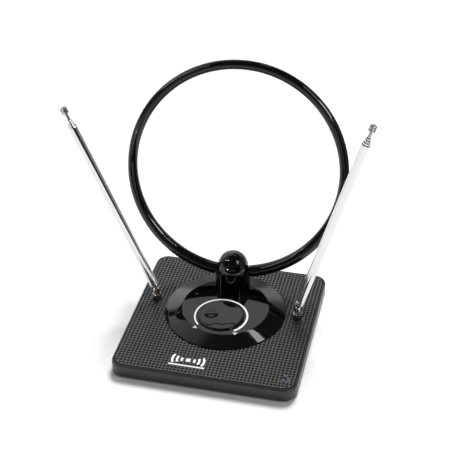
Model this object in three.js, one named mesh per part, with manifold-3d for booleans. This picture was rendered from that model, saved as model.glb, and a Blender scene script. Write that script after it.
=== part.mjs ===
// An amplified indoor television antenna of the rabbit-ears kind: a square weighted base with a
// gain dial, a ring antenna on a swivelling ball head, and two telescopic rods on knuckle joints.
// Millimetres, +Z up. The origin is the middle of the base's underside; the front faces -Y.
import * as THREE from "three";
import { mergeVertices } from "three/addons/utils/BufferGeometryUtils.js";
import Module from "manifold-3d";

const wasm = await Module();
wasm.setup();

const DEGREE = Math.PI / 180;
const GAP = 0.3; // between pieces that touch on the real object

// ---------------------------------------------------------------- driving dimensions
const BASE = { width: 150, top: 11, corner: 10.5, edge: 2, wall: 2.2, roof: 8.8, floor: 2 };
const FOOT = { radius: 5.2, reach: 58, low: -1.5, high: 0.7 };
const COVER_SCREW = { x: 66, y: 40, head: 3, shaft: 1.3, low: 0.35, shoulder: 1.1, high: 7.4 };
const BOSS = { radius: 3.6, pilot: 1.65, pilotHigh: 8 }; // in the top cover, for the cover screws
const BEZEL = { y: 10.5, rim: 50, rimHeight: 0.5, plateau: 36, top: 15.05, skin: 1.6 };
const OPENING = { radius: 38.5, lip: 1.6, lipLow: 9.3 }; // in the top cover, under the bezel
const DIAL = { x: -0.7, y: -2.4, radius: 18.8, top: 16.35, skirt: 13.6, recess: 19.5, floor: 13.2 };
const DIMPLE = { x: -8.5, y: 1, ball: 30, depth: 0.8 };
const SHAFT = { radius: 2, low: 6.6, high: 14.6, hub: 4.3 };
const LED = { x: 63, y: -62.5, radius: 2.45, flange: 2.9, low: 6, tip: 10.7 };
const LED_HOLDER = 4.2; // its outer radius
const BOARD = { x: 42, front: -20, back: 60, low: 4.4, high: 6, hole: 1.2 };
const BOARD_POSTS = [[-36, -14], [36, -14], [-36, 54], [36, 54]];
const POST_RADIUS = 3;
const BALLAST = { x: 55, front: -66, back: -26, low: 2.3, high: 6.3 };
const CAN = { x: 17, front: 13, back: 33, top: 11, sheet: 0.5, vent: 1.4, ventPitch: 8 };
const POT = { radius: 8, top: 11.1, terminal: 5, terminalFront: -11, terminalTop: 7.5 };
const JACK = { x: 20, half: 4, front: 62.5, back: 74.6, low: 2.3, high: 8.2, bore: 1.75, depth: 8 };
const GLAND = { x: -20, z: 5.45, radius: 2.5, flange: 3.2, bore: 1.6, inner: -4, outer: 1.4 };

const PILLAR = { x: -1.8, y: 45.6, radius: 14.75, turn: 3.4, stem: 7.7, stemLow: 8.6, bore: 5.2 };
const CLIP = { groove: 6.7, low: 9.9, high: 11, outer: 10.4, inner: 6.95, play: 0.15 };
const SEAT = { hole: 8.1, recess: 11.2 }; // for the pillar, in the bezel
const CUP = { radius: 14, floor: 9.75, edge: 2.2, rim: 1.2, under: 3.6 }; // round the head's ball
const EAR = { radius: 5.6, hole: 4.55 }; // the cup's two eyes, which the ring's necks pass through
const HEAD = { radius: 13.3, band: 3.75, flange: 13.5, lean: 16.5, wall: 1.8, ball: 9.3, cavity: 7.3 };
const SEAM = 0.15; // from the head's split to each half
const HEAD_SCREW = { head: 2.1, shaft: 1.15, low: -4.4, shoulder: -3, high: 6.2, post: 2.6 };
const HEAD_SCREWS = [[-6.4, -7.6], [6.4, 7.6]];
const HINGE_Z = 26.9; // the tilt axis of the ball head
const TENSION = { shaft: 1.3, head: 2.9, low: 8.7, headLow: -6.2, headHigh: -4.4, hole: 1.8 };
const SPRING = { radius: 2.9, wire: 0.35, low: 11.4, high: 13.1, turns: 3 };
const TENSION_NUT = { radius: 4.2, low: 9.2, high: 11.1 };
const RING = { radius: 88.4, drop: 0.6, root: 5.05, thin: 4, bore: 1.9, conductor: 1.4, steps: 46 };
const NECK = { radius: 3.6, shoulder: 15.1, end: 6.5, groove: 4.5 }; // where the ring enters the head

const ROD = { x: 60, y: 13.2, pivot: 21.5, bottom: 3.9, tip: 179.2, crimps: [1.6, 3.9] };
const ROD_POSE = [{ lean: -22.3, turn: 0 }, { lean: 17.2, turn: 16.6 }]; // left, right
const TUBES = [
  { outer: 3.6, inner: 3.15, low: 3.9, high: 162.6 },
  { outer: 3.0, inner: 2.6, low: 11.2, high: 164.5 },
  { outer: 2.45, inner: 2.05, low: 12, high: 166.3 },
  { outer: 1.9, inner: 1.5, low: 12.8, high: 168.1 },
];
const TIP = { radius: 1.25, low: 13.6, knob: 2.9, knobLow: 173.8, groove: 0.35 };
const STEM = { radius: 2, low: 4.5, bore: 2.3 }; // the knuckle's stem in its bushing
const KNUCKLE = { radius: 2.65, slot: 1.25, slotFloor: 3.6, pin: 0.8, pinHole: 1.1, pinHead: 1.3 };
const TONGUE = { thick: 1.05, eye: 2.45, half: 2, plug: 2.95, plugLow: 4.6, plugHigh: 10.6 };
const COLLAR = { inner: 2.98, outer: 3.4, thick: 0.5 };
const BUSHING = { radius: 3.9, top: 16.3, thread: 3.2, low: 5.9 };
const ROD_NUT = { radius: 5.2, low: 6.2, high: 8.5 };
const WASHER = { radius: 4, low: 5, high: 5.6 };

// ---------------------------------------------------------------- materials
function finish(color, roughness, metalness) {
  return new THREE.MeshStandardMaterial({ color, roughness, metalness });
}
const SATIN_BLACK = finish(0x1b1b1c, 0.45, 0);
const GLOSS_BLACK = finish(0x080808, 0.08, 0);
const RUBBER = finish(0x141414, 0.85, 0);
const CHROME = finish(0xe6e6e8, 0.08, 1);
const BRASS = finish(0xc7a879, 0.25, 1);
const STEEL = finish(0x9a9c9f, 0.4, 1);
const BOARD_GREEN = finish(0x1d5a34, 0.45, 0);
const LED_LENS = finish(0x8fa3c4, 0.15, 0);

// ---------------------------------------------------------------- joining and cutting
function solidOf(geometry) {
  const bare = geometry.index ? geometry.toNonIndexed() : geometry.clone();
  bare.deleteAttribute("normal");
  bare.deleteAttribute("uv");
  const merged = mergeVertices(bare, 1e-4);
  const mesh = new wasm.Mesh({
    numProp: 3,
    vertProperties: merged.attributes.position.array,
    triVerts: new Uint32Array(merged.index.array),
  });
  return new wasm.Manifold(mesh);
}

function geometryOf(solid) {
  const mesh = solid.getMesh();
  const geometry = new THREE.BufferGeometry();
  geometry.setAttribute("position", new THREE.BufferAttribute(mesh.vertProperties, 3));
  geometry.setIndex(new THREE.BufferAttribute(mesh.triVerts, 1));
  return geometry;
}

function joined(first, ...others) {
  return geometryOf(others.reduce((whole, g) => whole.add(solidOf(g)), solidOf(first)));
}

function cut(body, ...tools) {
  return geometryOf(tools.reduce((whole, g) => whole.subtract(solidOf(g)), solidOf(body)));
}

function common(a, b) {
  return geometryOf(solidOf(a).intersect(solidOf(b)));
}

// ---------------------------------------------------------------- basic shapes
// A body of revolution about Z from [radius, height] points, outside upwards.
function turned(profile, sides = 24) {
  const points = profile.map(([r, z]) => new THREE.Vector2(r, z));
  return new THREE.LatheGeometry(points, sides).rotateX(Math.PI / 2);
}

function ringBody(outer, inner, low, high, sides = 24) {
  const corners = [[inner, low], [outer, low], [outer, high], [inner, high], [inner, low]];
  return turned(corners, sides);
}

function cylinder(radius, low, high, sides = 24) {
  const shape = new THREE.CylinderGeometry(radius, radius, high - low, sides);
  return shape.rotateX(Math.PI / 2).translate(0, 0, (low + high) / 2);
}

// A cylinder along X, or along Y when turned a quarter about Z.
function crossCylinder(radius, low, high, sides = 16) {
  return cylinder(radius, low, high, sides).rotateY(Math.PI / 2);
}

function block(x0, x1, y0, y1, z0, z1) {
  const shape = new THREE.BoxGeometry(x1 - x0, y1 - y0, z1 - z0);
  return shape.translate((x0 + x1) / 2, (y0 + y1) / 2, (z0 + z1) / 2);
}

function roundedSquare(width, corner) {
  const reach = width / 2 - corner;
  const shape = new THREE.Shape();
  [[1, 1], [-1, 1], [-1, -1], [1, -1]].forEach(([sx, sy], i) => {
    shape.absarc(sx * reach, sy * reach, corner, i * 90 * DEGREE, (i + 1) * 90 * DEGREE);
  });
  return shape;
}

function slab(shape, low, high, curveSegments = 4) {
  const settings = { depth: high - low, bevelEnabled: false, curveSegments };
  return new THREE.ExtrudeGeometry(shape, settings).translate(0, 0, low);
}

// Points on a circle about [r, z], from one angle to another in degrees, for a turned profile.
function arc(r, z, radius, from, to, steps) {
  return Array.from({ length: steps + 1 }, (_, i) => {
    const angle = (from + ((to - from) * i) / steps) * DEGREE;
    return [r + radius * Math.cos(angle), z + radius * Math.sin(angle)];
  });
}

// A closed body through rings of equal point counts; the last ring joins the first when it is
// a loop of rings, and otherwise both ends are capped.
function throughRings(rings, looped) {
  const sides = rings[0].length;
  const points = rings.flat();
  const faces = [];
  const last = looped ? rings.length : rings.length - 1;
  for (let i = 0; i < last; i++) {
    const here = i * sides;
    const next = ((i + 1) % rings.length) * sides;
    for (let j = 0; j < sides; j++) {
      const k = (j + 1) % sides;
      faces.push(here + j, here + k, next + j, here + k, next + k, next + j);
    }
  }
  if (!looped) {
    const end = (rings.length - 1) * sides;
    for (let j = 1; j < sides - 1; j++) faces.push(0, j + 1, j, end, end + j, end + j + 1);
  }
  const geometry = new THREE.BufferGeometry().setFromPoints(points);
  geometry.setIndex(faces);
  return geometry;
}

function circleAt(centre, across, side, radius, sides) {
  return Array.from({ length: sides }, (_, j) => {
    const angle = (j / sides) * 2 * Math.PI;
    const point = centre.clone().addScaledVector(across, radius * Math.cos(angle));
    return point.addScaledVector(side, radius * Math.sin(angle));
  });
}

function piece(group, name, geometry, material) {
  const mesh = new THREE.Mesh(geometry, material.clone());
  mesh.name = name;
  group.add(mesh);
}

const SIDES = [["left", -1], ["right", 1]];
const CORNERS = [
  ["front_left", -1, -1],
  ["front_right", 1, -1],
  ["back_left", -1, 1],
  ["back_right", 1, 1],
];

// ---------------------------------------------------------------- base: covers and fixings
// One shape at each of the four cover screws.
function atScrews(make) {
  return CORNERS.map(([, sx, sy]) => make().translate(sx * COVER_SCREW.x, sy * COVER_SCREW.y, 0));
}

function topCover() {
  const { width, top, corner, edge, wall, roof } = BASE;
  const settings = {
    depth: top - edge + 5,
    bevelSize: edge,
    bevelThickness: edge,
    bevelSegments: 2,
    curveSegments: 4,
  };
  const core = roundedSquare(width - 2 * edge, corner - edge);
  const body = new THREE.ExtrudeGeometry(core, settings).translate(0, 0, -5);
  const shell = common(body, block(-width, width, -width, width, 0, top + 1));
  const inside = slab(roundedSquare(width - 2 * wall, corner - wall), -1, roof);
  const bosses = atScrews(() => cylinder(BOSS.radius, BASE.floor + 0.4, roof + 0.5, 10));
  const pilots = atScrews(() => cylinder(BOSS.pilot, 0, BOSS.pilotHigh, 8));
  const jackHalf = JACK.half + GAP;
  const holes = [
    cylinder(OPENING.radius, 5, top + 1, 30).translate(0, BEZEL.y, 0),
    cylinder(SEAT.recess + GAP, 5, top + 1).translate(PILLAR.x, PILLAR.y, 0),
    cylinder(LED.flange, 5, top + 1, 16).translate(LED.x, LED.y, 0),
    ...SIDES.map(([, s]) => cylinder(BUSHING.thread + GAP, 5, top + 1, 16)
      .translate(s * ROD.x, ROD.y, 0)),
    alongWall(cylinder(GLAND.radius + GAP, -6, 6, 16)),
    block(JACK.x - jackHalf, JACK.x + jackHalf, 70, 80, JACK.low - 0.4, JACK.high + 0.4),
  ];
  return cut(joined(cut(shell, inside), ...bosses), ...pilots, ...holes);
}

function bottomCover() {
  const margin = BASE.wall + GAP;
  const plate = slab(roundedSquare(BASE.width - 2 * margin, BASE.corner - margin), 0, BASE.floor);
  const posts = BOARD_POSTS.map(([x, y]) =>
    cylinder(POST_RADIUS, 1.5, BOARD.low - GAP, 8).translate(x, y, 0));
  const pockets = CORNERS.map(([, sx, sy]) => cylinder(FOOT.radius + GAP, -1, 1, 16)
    .translate(sx * FOOT.reach, sy * FOOT.reach, 0));
  const shaftHoles = atScrews(() => cylinder(COVER_SCREW.shaft + 0.4, -1, 3, 8));
  const headHoles = atScrews(() =>
    cylinder(COVER_SCREW.head + 0.4, -1, COVER_SCREW.shoulder + GAP, 12));
  return cut(joined(plate, ...posts), ...pockets, ...shaftHoles, ...headHoles);
}

function foot() {
  const { radius, low, high } = FOOT;
  return turned([[0, low], [radius - 0.6, low], [radius, low + 0.6], [radius, high], [0, high]], 16);
}

// A pan-head screw, head down, with a cross recess.
function screw({ head, shaft, low, shoulder, high }) {
  const body = turned([
    [0, low], [head * 0.85, low], [head, low + 0.35], [head, shoulder],
    [shaft, shoulder], [shaft, high - 0.8], [0, high],
  ], 10);
  const arm = head * 0.6;
  const slots = [block(-arm, arm, -0.3, 0.3, low - 1, low + 0.4),
    block(-0.3, 0.3, -arm, arm, low - 1, low + 0.4)];
  return cut(body, ...slots);
}

// ---------------------------------------------------------------- base: electronics
// The board and its components in one: a filter, a driver, two capacitors and a coil form.
function circuitBoard() {
  const board = block(-BOARD.x, BOARD.x, BOARD.front, BOARD.back, BOARD.low, BOARD.high);
  const holes = BOARD_POSTS.map(([x, y]) => cylinder(BOARD.hole, 4, 7, 8).translate(x, y, 0));
  const foot = BOARD.high - 0.2;
  const parts = [
    block(-34, -26, 30, 36, foot, 8.2),
    block(24, 34, 28, 33, foot, 7.6),
    cylinder(3, foot, 8.4, 10).translate(30, 12, 0),
    cylinder(2.2, foot, 8.4, 10).translate(-32, 12, 0),
    block(-24, -19, 44, 54, foot, 8.2),
  ];
  return cut(joined(board, ...parts), ...holes);
}

function shieldCan() {
  const { x, front, back, top, sheet, vent, ventPitch } = CAN;
  const can = block(-x, x, front, back, BOARD.high + GAP, top);
  const hollow = block(-x + sheet, x - sheet, front + sheet, back - sheet, BOARD.high, top - sheet);
  const vents = [-ventPitch, 0, ventPitch].map((middle) =>
    cylinder(vent, top - 1, top + 1, 8).translate(middle, (front + back) / 2, 0));
  return cut(can, hollow, ...vents);
}

function potBody() {
  const bore = SHAFT.radius + 0.15;
  const low = BOARD.high + GAP;
  const can = ringBody(POT.radius, bore, low, POT.top, 20);
  const terminals = block(-POT.terminal, POT.terminal, POT.terminalFront, 1 - POT.radius,
    low, POT.terminalTop);
  return cut(joined(can, terminals), cylinder(bore, low - 1, POT.top + 1, 20));
}

function powerJack() {
  const { x, half, front, back, low, high, bore, depth } = JACK;
  const socket = crossCylinder(bore, -depth, depth).rotateZ(Math.PI / 2);
  return cut(
    block(x - half, x + half, front, back, low, high),
    socket.translate(x, back, (low + high) / 2),
  );
}

// Turns a shape's Z axis to +Y, out through the base's back wall at the cable's place.
function alongWall(shape) {
  return shape.rotateX(-Math.PI / 2).translate(GLAND.x, BASE.width / 2, GLAND.z);
}

function cableGland() {
  const { radius, flange, bore, inner, outer } = GLAND;
  const wallInside = -BASE.wall - 0.4;
  return alongWall(turned([
    [bore, inner], [flange, inner], [flange, wallInside], [radius, wallInside], [radius, GAP],
    [flange, GAP], [flange - 0.5, outer], [bore, outer], [bore, inner],
  ], 16));
}

function indicatorLed() {
  const dome = arc(0, LED.tip - LED.radius, LED.radius, 0, 90, 4);
  dome[dome.length - 1][0] = 0;
  const rim = LED.flange - 0.2;
  const rimTop = LED.low + 0.9;
  return turned([[0, LED.low], [rim, LED.low], [rim, rimTop], [LED.radius, rimTop], ...dome], 14);
}

// ---------------------------------------------------------------- base: bezel and gain dial
// The glossy cone with its flat top, seen about its own axis.
function bezel() {
  const { rim, rimHeight, plateau, top, skin, y } = BEZEL;
  const bottom = BASE.top + GAP;
  const lipOuter = OPENING.radius - GAP;
  const lipInner = lipOuter - OPENING.lip;
  const under = top - skin;
  const body = turned([
    [0, under], [lipInner, under], [lipInner, OPENING.lipLow], [lipOuter, OPENING.lipLow],
    [lipOuter, bottom], [rim, bottom], [rim, bottom + rimHeight], [plateau + 1, top - 0.2],
    [plateau, top], [0, top],
  ], 36).translate(0, y, 0);
  const well = cylinder(DIAL.recess + skin, DIAL.floor - skin, under + 0.2, 32)
    .translate(DIAL.x, DIAL.y, 0);
  const seat = cylinder(PILLAR.radius, bottom, top, 32).translate(PILLAR.x, PILLAR.y, 0);
  return cut(
    joined(body, well, seat),
    cylinder(DIAL.recess, DIAL.floor, top + 1, 32).translate(DIAL.x, DIAL.y, 0),
    cylinder(SHAFT.hub + 0.5, 10, top + 1, 16).translate(DIAL.x, DIAL.y, 0),
    cylinder(SEAT.hole, 8, top + 1).translate(PILLAR.x, PILLAR.y, 0),
    cylinder(SEAT.recess, 8, bottom).translate(PILLAR.x, PILLAR.y, 0),
  );
}

function gainDial() {
  const { radius, top, skirt } = DIAL;
  const cap = turned([
    [0, top - 1.35], [radius - 1.6, top - 1.35], [radius - 1.6, skirt], [radius, skirt],
    [radius, top - 0.4], [radius - 0.4, top], [0, top],
  ], 32);
  const hub = cylinder(SHAFT.hub, 12.2, top - 1, 16);
  const bore = cylinder(SHAFT.radius + GAP, 11, SHAFT.high + GAP, 12);
  const dimple = new THREE.SphereGeometry(DIMPLE.ball, 14, 40).rotateX(Math.PI / 2)
    .translate(DIMPLE.x, DIMPLE.y, top - DIMPLE.depth + DIMPLE.ball);
  return cut(joined(cap, hub), bore, dimple);
}

function potShaft() {
  const { radius, low, high } = SHAFT;
  return cut(cylinder(radius, low, high, 12), block(1.4, 3, -3, 3, 12, high + 1));
}

// ---------------------------------------------------------------- ring antenna and its ball head
// The pillar on its stem: a cup for the head's ball, cut off along the head's lean, with an eye on
// each side for the ring.
function loopPillar() {
  const { radius, stem, stemLow, bore } = PILLAR;
  const low = BEZEL.top + GAP;
  const high = HINGE_Z + 8;
  const outside = turned([
    [0, stemLow], [stem, stemLow], [stem, CLIP.low], [CLIP.groove, CLIP.low],
    [CLIP.groove, CLIP.high], [stem, CLIP.high], [stem, low], [radius, low], [radius, high], [0, high],
  ], 24);
  const from = -Math.asin(CUP.floor / CUP.radius) / DEGREE;
  const to = -Math.asin(CUP.edge / CUP.radius) / DEGREE;
  const hollow = turned([
    [0, -CUP.floor], ...arc(0, 0, CUP.radius, from, to, 3), [CUP.radius, 12], [0, 12],
  ], 24);
  const above = block(-20, 20, -30, 30, -CUP.rim, 30).rotateX(-HEAD.lean * DEGREE);
  const lid = cut(above, crossCylinder(EAR.radius, -25, 25, 20));
  const eyes = crossCylinder(EAR.hole, -25, 25, 24);
  const atHinge = [hollow, lid, eyes].map((shape) => shape.translate(0, 0, HINGE_Z));
  const springSpace = cylinder(bore, 0, HINGE_Z - CUP.floor - CUP.under, 24);
  return cut(outside, ...atHinge, springSpace, cylinder(TENSION.hole, 0, HINGE_Z, 16));
}

// Heights in the head's pieces are measured from the tilt axis.
function headBase() {
  const { ball, flange, cavity, radius } = HEAD;
  const bowl = arc(0, 0, ball, -90, -20, 4);
  bowl[0][0] = 0;
  const step = radius - SEAM;
  const outside = turned([
    ...bowl, [step, -1.8], [step, -1], [flange, -0.9], [flange, -SEAM], [0, -SEAM],
  ], 22);
  const hollow = new THREE.SphereGeometry(cavity, 16, 10).rotateX(Math.PI / 2);
  const slot = block(-2.1, 2.1, -3.2, 8.4, -12, 0);
  return cut(outside, hollow, slot, ...neckGrooves(), ...headScrewHoles(-12, 1));
}

// Half of a capsule's outline: a straight band and a quarter circle up to the axis.
function domeOutline(radius) {
  const curve = arc(0, HEAD.band, radius, 0, 90, 5);
  curve[curve.length - 1][0] = 0;
  return [[radius, SEAM], ...curve];
}

function headDome() {
  const outer = domeOutline(HEAD.radius);
  const inner = domeOutline(HEAD.radius - HEAD.wall).reverse();
  const shell = turned([...outer, ...inner, outer[0]], 22);
  const filled = turned([[0, SEAM], ...outer], 22);
  const posts = HEAD_SCREWS.map(([x, y]) => {
    return common(cylinder(HEAD_SCREW.post, SEAM, 12, 10).translate(x, y, 0), filled);
  });
  return cut(joined(shell, ...posts), ...neckGrooves(), ...headScrewHoles(-1, 6.6));
}

function headScrewHoles(low, high) {
  const { head, shaft, shoulder } = HEAD_SCREW;
  return HEAD_SCREWS.flatMap(([x, y]) => [
    cylinder(shaft + 0.35, low, high, 8).translate(x, y, 0),
    cylinder(head + 0.4, -12, shoulder + 0.4, 12).translate(x, y, 0),
  ]);
}

function neckGrooves() {
  return [[-25, -5], [5, 25]].map(([from, to]) => crossCylinder(NECK.groove, from, to));
}

// The ring's own radius where it stands this far round from its lowest point.
function ringThickness(angle) {
  return RING.thin + (RING.root - RING.thin) * Math.max(0, Math.cos(angle)) ** 0.85;
}

// A section of the ring. It faces along the ring unless it is given the angle to face along.
function ringStation(angle, radius, sides, facing = angle) {
  const centre = new THREE.Vector3(
    RING.radius * Math.sin(angle), 0, RING.radius * (1 - Math.cos(angle)) - RING.drop);
  const outward = new THREE.Vector3(Math.sin(facing), 0, -Math.cos(facing));
  return circleAt(centre, outward, new THREE.Vector3(0, 1, 0), radius, sides);
}

function ringAngles(from, steps) {
  return Array.from({ length: steps + 1 }, (_, i) => from + ((2 * Math.PI - 2 * from) * i) / steps);
}

// The ring's tube, with an upright shoulder at each side of the head and a neck that goes into it.
function loopRing() {
  const sides = 8;
  const end = Math.asin(NECK.end / RING.radius);
  const shoulder = Math.asin(NECK.shoulder / RING.radius);
  const full = 2 * Math.PI;
  const root = ringThickness(shoulder);
  const round = ringAngles(shoulder, RING.steps).slice(1, -1);
  const outside = [
    ringStation(end, NECK.radius, sides),
    ringStation(shoulder, NECK.radius, sides, 0),
    ringStation(shoulder, root, sides, 0),
    ...round.map((angle) => ringStation(angle, ringThickness(angle), sides)),
    ringStation(full - shoulder, root, sides, 0),
    ringStation(full - shoulder, NECK.radius, sides, 0),
    ringStation(full - end, NECK.radius, sides),
  ];
  const inside = ringAngles(end, RING.steps).map((angle) => ringStation(angle, RING.bore, sides));
  return throughRings([...outside, ...inside.reverse()], true);
}

function loopConductor() {
  const start = Math.asin((NECK.end - 1.3) / RING.radius);
  const stations = ringAngles(start, RING.steps).map((angle) => ringStation(angle, RING.conductor, 5));
  return throughRings(stations, false);
}

// ---------------------------------------------------------------- spring, screw and nut of the head
function tensionSpring() {
  const { radius, wire, low, high, turns } = SPRING;
  const stepsPerTurn = 10;
  const steps = turns * stepsPerTurn;
  const rings = Array.from({ length: steps + 1 }, (_, i) => {
    const angle = (i / stepsPerTurn) * 2 * Math.PI;
    const across = new THREE.Vector3(Math.cos(angle), Math.sin(angle), 0);
    const centre = across.clone().multiplyScalar(radius).setZ(low + ((high - low) * i) / steps);
    return circleAt(centre, across, new THREE.Vector3(0, 0, -1), wire, 5);
  });
  return throughRings(rings, false);
}

function tensionScrew() {
  const { shaft, head, low } = TENSION;
  const headLow = HINGE_Z + TENSION.headLow;
  const headHigh = HINGE_Z + TENSION.headHigh;
  return turned([
    [0, low], [shaft, low], [shaft, headLow], [head, headLow], [head, headHigh - 0.4],
    [head - 0.5, headHigh], [0, headHigh],
  ], 16);
}

function tensionNut() {
  const { radius, low, high } = TENSION_NUT;
  return cut(cylinder(radius, low, high, 6), cylinder(TENSION.shaft + GAP, low - 1, high + 1, 16));
}

// ---------------------------------------------------------------- telescopic rods
function rodBushing() {
  const { radius, top, thread, low } = BUSHING;
  const seat = BASE.top + GAP;
  return turned([
    [STEM.bore, low], [thread, low], [thread, seat], [radius, seat], [radius, top - 0.7],
    [radius - 0.7, top], [STEM.bore, top], [STEM.bore, low],
  ], 18);
}

function rodNut() {
  const { radius, low, high } = ROD_NUT;
  return cut(cylinder(radius, low, high, 6), cylinder(BUSHING.thread + GAP, low - 1, high + 1, 16));
}

function rodWasher() {
  return ringBody(WASHER.radius, STEM.radius + GAP, WASHER.low, WASHER.high, 16);
}

// A cylinder along Y, across the rod's slot.
function acrossSlot(radius, reach, sides = 10) {
  return crossCylinder(radius, -reach, reach, sides).rotateZ(Math.PI / 2);
}

// The clevis: a stem below, two cheeks with round tops above, and the slot between them.
function knuckleBase() {
  const { radius, slot, slotFloor, pinHole } = KNUCKLE;
  const seat = BUSHING.top + GAP;
  const top = ROD.pivot + radius + 1;
  const body = turned([
    [0, STEM.low], [STEM.radius, STEM.low], [STEM.radius, seat], [radius, seat], [radius, top], [0, top],
  ], 18);
  const crown = joined(
    acrossSlot(radius, 4, 24).translate(0, 0, ROD.pivot),
    block(-4, 4, -4, 4, 0, ROD.pivot),
  );
  const gap = block(-5, 5, -slot, slot, ROD.pivot - slotFloor, top + 1);
  return cut(common(body, crown), gap, acrossSlot(pinHole, 5).translate(0, 0, ROD.pivot));
}

function rodCollar() {
  const { inner, outer, thick } = COLLAR;
  const low = BUSHING.top + GAP;
  const middle = (inner + outer) / 2;
  return turned([
    [inner, low + 0.1], [middle, low], [outer, low + 0.2], [outer, low + thick - 0.1],
    [middle, low + thick], [inner, low + thick], [inner, low + 0.1],
  ], 18);
}

// From here heights run along the rod from its pivot.
function rodTongue() {
  const { thick, eye, half, plug, plugLow, plugHigh } = TONGUE;
  const body = joined(
    turned([[0, plugLow], [plug, plugLow], [plug, plugHigh], [0, plugHigh]], 14),
    block(-half, half, -thick, thick, 0, plugLow + 0.4),
    acrossSlot(eye, thick, 16),
  );
  return cut(body, acrossSlot(KNUCKLE.pinHole, 5));
}

function knucklePin() {
  const { radius, pin, pinHead } = KNUCKLE;
  const low = radius + GAP;
  const high = low + 0.2;
  return turned([
    [0, -high], [pinHead, -high], [pinHead, -low], [pin, -low], [pin, low], [pinHead, low],
    [pinHead, high], [0, high],
  ], 10).rotateX(Math.PI / 2);
}

// A drawn tube whose mouth is rolled in around the next section.
function drawnTube({ outer, inner, low, high }, crimps) {
  const rolled = (outer + inner) / 2;
  const rings = crimps.flatMap((z) => [
    [outer, z - 0.5], [rolled, z - 0.2], [rolled, z + 0.2], [outer, z + 0.5]]);
  return turned([
    [inner, low], [outer - 0.1, low], [outer, low + 0.2], ...rings, [outer, high - 0.9],
    [rolled, high], [inner, high], [inner, low],
  ], 12);
}

// The thin solid section and the knob at its end, which has a groove round it.
function tipSection() {
  const { radius, low, knob, knobLow } = TIP;
  const grooved = knob - TIP.groove;
  return turned([
    [0, low], [radius, low], [radius, knobLow], [knob - 0.5, knobLow], [knob, knobLow + 0.5],
    [knob, knobLow + 1.7], [grooved, knobLow + 2], [grooved, knobLow + 2.4],
    [knob, knobLow + 2.7], [knob, ROD.tip - 0.8], [knob - 0.8, ROD.tip - 0.1], [0, ROD.tip],
  ], 14);
}

// ---------------------------------------------------------------- the assembly
function addBase(root) {
  piece(root, "top_cover", topCover(), SATIN_BLACK);
  piece(root, "bottom_cover", bottomCover(), SATIN_BLACK);
  for (const [corner, sx, sy] of CORNERS) {
    const rubber = foot().translate(sx * FOOT.reach, sy * FOOT.reach, 0);
    piece(root, "foot_" + corner, rubber, RUBBER);
    const fixing = screw(COVER_SCREW).translate(sx * COVER_SCREW.x, sy * COVER_SCREW.y, 0);
    piece(root, "cover_screw_" + corner, fixing, STEEL);
  }
  const weight = block(
    -BALLAST.x, BALLAST.x, BALLAST.front, BALLAST.back, BALLAST.low, BALLAST.high);
  piece(root, "ballast_plate", weight, STEEL);
  piece(root, "circuit_board", circuitBoard(), BOARD_GREEN);
  piece(root, "shield_can", shieldCan(), STEEL);
  piece(root, "gain_pot_body", potBody().translate(DIAL.x, DIAL.y, 0), SATIN_BLACK);
  piece(root, "power_jack", powerJack(), SATIN_BLACK);
  piece(root, "cable_gland", cableGland(), RUBBER);
  piece(root, "indicator_led", indicatorLed().translate(LED.x, LED.y, 0), LED_LENS);
  const holder = ringBody(LED_HOLDER, LED.flange + GAP, LED.low, BASE.roof - GAP, 20);
  piece(root, "led_holder", holder.translate(LED.x, LED.y, 0), SATIN_BLACK);
  piece(root, "centre_bezel", bezel(), GLOSS_BLACK);
}

function addGainDial(root) {
  piece(root, "gain_dial", gainDial().translate(DIAL.x, DIAL.y, 0), GLOSS_BLACK);
  piece(root, "gain_pot_shaft", potShaft().translate(DIAL.x, DIAL.y, 0), STEEL);
}

function addRingAntenna(root) {
  const pillar = new THREE.Group();
  pillar.position.set(PILLAR.x, PILLAR.y, 0);
  pillar.rotation.z = PILLAR.turn * DEGREE;
  root.add(pillar);
  piece(pillar, "loop_pillar", loopPillar(), GLOSS_BLACK);
  const { outer, inner, low, high, play } = CLIP;
  piece(pillar, "pillar_clip", ringBody(outer, inner, low + play, high - play, 32), STEEL);
  piece(pillar, "tension_screw", tensionScrew(), STEEL);
  piece(pillar, "tension_spring", tensionSpring(), STEEL);
  piece(pillar, "tension_nut", tensionNut(), STEEL);

  const head = new THREE.Group();
  head.position.z = HINGE_Z;
  head.rotation.x = -HEAD.lean * DEGREE;
  pillar.add(head);
  piece(head, "head_base", headBase(), GLOSS_BLACK);
  piece(head, "head_dome", headDome(), GLOSS_BLACK);
  HEAD_SCREWS.forEach(([x, y], i) => {
    piece(head, "head_screw_" + (i + 1), screw(HEAD_SCREW).translate(x, y, 0), STEEL);
  });
  piece(head, "loop_ring", loopRing(), GLOSS_BLACK);
  piece(head, "loop_conductor", loopConductor(), BRASS);
}

function addRod(root, [side, sign], { lean, turn }) {
  const socket = new THREE.Group();
  socket.position.set(sign * ROD.x, ROD.y, 0);
  socket.rotation.z = turn * DEGREE;
  root.add(socket);
  piece(socket, side + "_bushing", rodBushing(), GLOSS_BLACK);
  piece(socket, side + "_bushing_nut", rodNut(), STEEL);
  piece(socket, side + "_stem_washer", rodWasher(), STEEL);
  piece(socket, side + "_knuckle_base", knuckleBase(), BRASS);
  piece(socket, side + "_collar", rodCollar(), CHROME);

  const rod = new THREE.Group();
  rod.position.z = ROD.pivot;
  rod.rotation.y = lean * DEGREE;
  socket.add(rod);
  piece(rod, side + "_knuckle_pin", knucklePin(), BRASS);
  piece(rod, side + "_tongue", rodTongue(), BRASS);
  TUBES.forEach((tube, i) => {
    const crimps = i ? [] : ROD.crimps.map((height) => ROD.bottom + height);
    piece(rod, side + "_tube_" + (i + 1), drawnTube(tube, crimps), CHROME);
  });
  piece(rod, side + "_tip_section", tipSection(), CHROME);
}

const antenna = new THREE.Group();
addBase(antenna);
addGainDial(antenna);
addRingAntenna(antenna);
SIDES.forEach((side, i) => addRod(antenna, side, ROD_POSE[i]));

export default antenna;
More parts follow.
